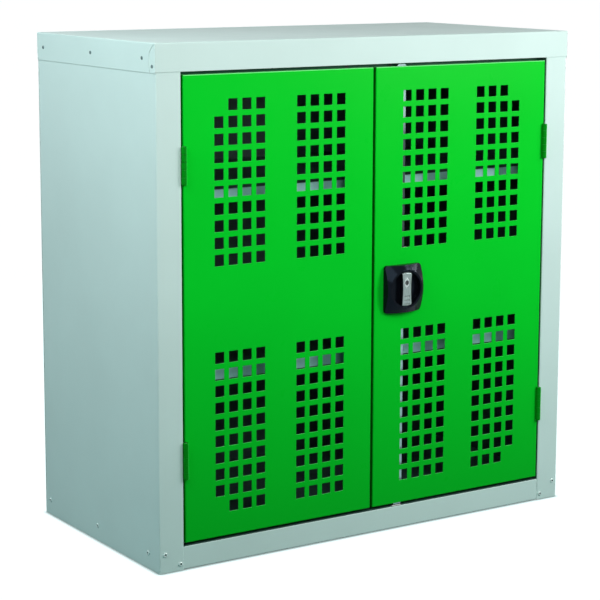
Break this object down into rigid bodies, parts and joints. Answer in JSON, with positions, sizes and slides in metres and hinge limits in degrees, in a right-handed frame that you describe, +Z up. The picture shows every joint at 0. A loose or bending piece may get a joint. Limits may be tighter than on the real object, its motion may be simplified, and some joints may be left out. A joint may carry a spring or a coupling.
{
  "type": "perforated door cupboard",
  "caption": "Low steel storage cupboard with perforated double doors, shelves inside and a knob that throws rods up and down to lock the right door.",
  "frame": {"origin": "bottom centre of the box around the cupboard and its lock, on the floor", "axes": "+X to the cupboard's right as seen from the front, +Y to the back, +Z up"},
  "size_m": [0.915, 0.4754, 0.935],
  "materials": {
    "black_plastic": "semi-gloss moulding",
    "buffer_rubber": "soft pad",
    "catch_plastic": "moulded",
    "green_paint": "powder coat, semi-gloss",
    "grey_paint": "powder coat, low sheen",
    "satin_metal": "satin die-cast zinc",
    "white_nylon": "moulded nylon",
    "zinc_steel": "bright zinc plate"
  },
  "bodies": {
    "root": {"back_panel": "grey_paint", "base_tray": "grey_paint", "bottom_rail": "grey_paint", "catch_magnet": "zinc_steel", "door_buffers": "buffer_rubber", "front_left_shelf_strip": "grey_paint", "front_right_shelf_strip": "grey_paint", "header_channel": "grey_paint", "left_lower_hinge_frame_leaf": "green_paint", "left_lower_hinge_pin": "zinc_steel", "left_side_panel": "grey_paint", "left_upper_hinge_frame_leaf": "green_paint", "left_upper_hinge_pin": "zinc_steel", "lower_shelf": "grey_paint", "lower_shelf_clips": "zinc_steel", "magnetic_catch": "catch_plastic", "rear_left_shelf_strip": "grey_paint", "rear_right_shelf_strip": "grey_paint", "right_lower_hinge_frame_leaf": "green_paint", "right_lower_hinge_pin": "zinc_steel", "right_side_panel": "grey_paint", "right_upper_hinge_frame_leaf": "green_paint", "right_upper_hinge_pin": "zinc_steel", "top_cap": "grey_paint", "upper_shelf": "grey_paint", "upper_shelf_clips": "zinc_steel"},
    "left_door": {"left_door": "green_paint", "left_door_stiffener": "green_paint", "left_lower_hinge_door_leaf": "green_paint", "left_upper_hinge_door_leaf": "green_paint"},
    "right_door": {"lock_housing": "black_plastic", "lock_nut": "zinc_steel", "lower_rod_guides": "white_nylon", "right_door": "green_paint", "right_door_stiffener": "green_paint", "right_lower_hinge_door_leaf": "green_paint", "right_upper_hinge_door_leaf": "green_paint", "upper_rod_guides": "white_nylon"},
    "lock_knob": {"cam_screw": "zinc_steel", "key_barrel": "satin_metal", "lock_cam": "zinc_steel", "lock_grip": "satin_metal", "lock_knob": "black_plastic", "lock_spindle": "zinc_steel"},
    "key_plug": {"key_plug": "satin_metal"},
    "upper_rod": {"upper_lock_rod": "zinc_steel"},
    "lower_rod": {"lower_lock_rod": "zinc_steel"}
  },
  "joints": [
    {"name": "left_door_swing", "type": "hinge", "parent": "root", "child": "left_door", "pos_m": [-0.403, -0.22125, 0.464], "axis": [0, 0, -1], "range_deg": [0, 170]},
    {"name": "right_door_swing", "type": "hinge", "parent": "root", "child": "right_door", "pos_m": [0.403, -0.22125, 0.464], "axis": [0, 0, 1], "range_deg": [0, 170]},
    {"name": "knob_turn", "type": "hinge", "parent": "right_door", "child": "lock_knob", "pos_m": [0.064, -0.21825, 0.465], "axis": [0, 1, 0], "range_deg": [0, 90]},
    {"name": "key_turn", "type": "hinge", "parent": "lock_knob", "child": "key_plug", "pos_m": [0.064, -0.21825, 0.4774], "axis": [0, 1, 0], "range_deg": [0, 90]},
    {"name": "upper_rod_slide", "type": "slide", "parent": "right_door", "child": "upper_rod", "axis": [0, 0, 1], "range_m": [0, 0.02263]},
    {"name": "lower_rod_slide", "type": "slide", "parent": "right_door", "child": "lower_rod", "axis": [0, 0, -1], "range_m": [0, 0.02263]}
  ],
  "couplings": [
    {"joint": "upper_rod_slide", "follows": "knob_turn", "m_per_rad": 0.014405},
    {"joint": "lower_rod_slide", "follows": "knob_turn", "m_per_rad": 0.014405}
  ]
}
